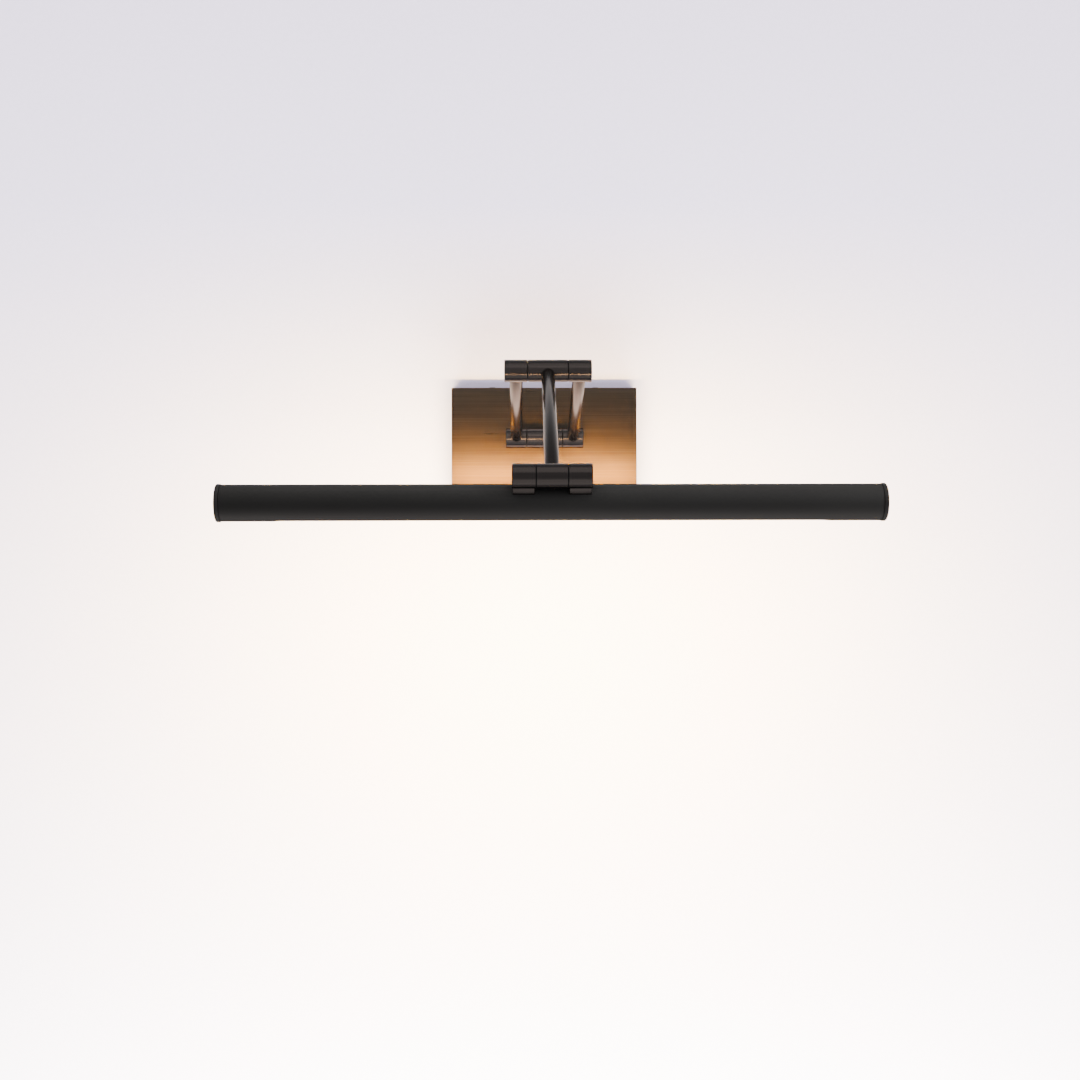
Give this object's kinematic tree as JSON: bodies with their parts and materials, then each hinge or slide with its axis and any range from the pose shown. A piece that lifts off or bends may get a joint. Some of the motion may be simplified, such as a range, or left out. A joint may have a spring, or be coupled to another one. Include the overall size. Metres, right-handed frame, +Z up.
{
  "type": "picture light",
  "caption": "Wall-mounted picture light: a long slim lamp tube with a slotted underside on a folding arm with friction knuckles, held by a rectangular back plate.",
  "frame": {"origin": "on the wall plane at the middle of the back plate", "axes": "+Z up; -Y points from the wall into the room; X runs along the lamp tube"},
  "size_m": [0.451, 0.3504, 0.1234],
  "materials": {
    "brushed_bronze": "horizontally brushed bronze",
    "black_nickel": "polished dark nickel",
    "satin_black": "satin near-black coat",
    "zinc_steel": "zinc plated",
    "brass_fittings": "turned brass",
    "white_plastic": "moulded",
    "circuit_board": "solder mask",
    "led_phosphor": "phosphor-filled silicone",
    "opal_diffuser": "frosted opal, lit warm white",
    "carrier_aluminium": "extruded",
    "black_nylon": "moulded nylon",
    "black_rubber": "moulded rubber"
  },
  "bodies": {
    "wall_plate": {"wall_bracket": "zinc_steel", "back_cover": "brushed_bronze", "cover_screw_top_left": "black_nickel", "cover_screw_top_right": "black_nickel", "cover_screw_bottom_left": "black_nickel", "cover_screw_bottom_right": "black_nickel", "post_backing_plate": "zinc_steel", "post_washer": "zinc_steel", "post_nut": "brass_fittings", "wall_knuckle_middle": "black_nickel", "driver_case": "white_plastic", "driver_lid": "white_plastic", "driver_board": "circuit_board", "driver_screw_left": "zinc_steel", "driver_screw_right": "zinc_steel", "terminal_block": "white_plastic", "terminal_screw_live": "brass_fittings", "terminal_screw_neutral": "brass_fittings", "earth_screw": "brass_fittings", "cable_grommet": "black_rubber", "supply_cable": "black_nylon", "driver_output_lead": "black_nylon"},
    "twin_arm": {"wall_knuckle_left": "black_nickel", "wall_knuckle_right": "black_nickel", "rear_arm_left": "black_nickel", "rear_arm_right": "black_nickel", "elbow_knuckle_left": "black_nickel", "elbow_knuckle_right": "black_nickel", "wall_hinge_pin": "black_nickel", "wall_pin_nut": "black_nickel", "wall_washer_left": "black_nylon", "wall_washer_right": "black_nylon", "elbow_hinge_pin": "black_nickel", "elbow_pin_nut": "black_nickel", "elbow_washer_left": "black_nylon", "elbow_washer_right": "black_nylon", "rear_arm_cable": "black_nylon"},
    "single_arm": {"elbow_knuckle_middle": "black_nickel", "front_arm": "black_nickel", "lamp_knuckle_middle": "black_nickel", "front_arm_cable": "black_nylon"},
    "lamp_head": {"lamp_knuckle_left": "black_nickel", "lamp_knuckle_right": "black_nickel", "lamp_hinge_pin": "black_nickel", "lamp_pin_nut": "black_nickel", "lamp_washer_left": "black_nylon", "lamp_washer_right": "black_nylon", "saddle_screw_left": "zinc_steel", "saddle_screw_right": "zinc_steel", "lamp_tube": "satin_black", "end_cap_left": "satin_black", "end_cap_right": "satin_black", "end_cap_screw_left": "black_nickel", "end_cap_screw_right": "black_nickel", "led_carrier": "carrier_aluminium", "led_board": "circuit_board", "cob_led_strip": "led_phosphor", "diffuser": "opal_diffuser", "lamp_lead": "black_nylon"}
  },
  "joints": [
    {"name": "wall_hinge", "type": "hinge", "parent": "wall_plate", "child": "twin_arm", "pos_m": [0, -0.045, 0], "axis": [1, 0, 0], "range_deg": [-60, 30]},
    {"name": "elbow_hinge", "type": "hinge", "parent": "twin_arm", "child": "single_arm", "pos_m": [0, -0.20128, 0.04071], "axis": [1, 0, 0], "range_deg": [-45, 100]},
    {"name": "lamp_tilt", "type": "hinge", "parent": "single_arm", "child": "lamp_head", "pos_m": [0, -0.34197, -0.04416], "axis": [1, 0, 0], "range_deg": [-75, 20]}
  ]
}
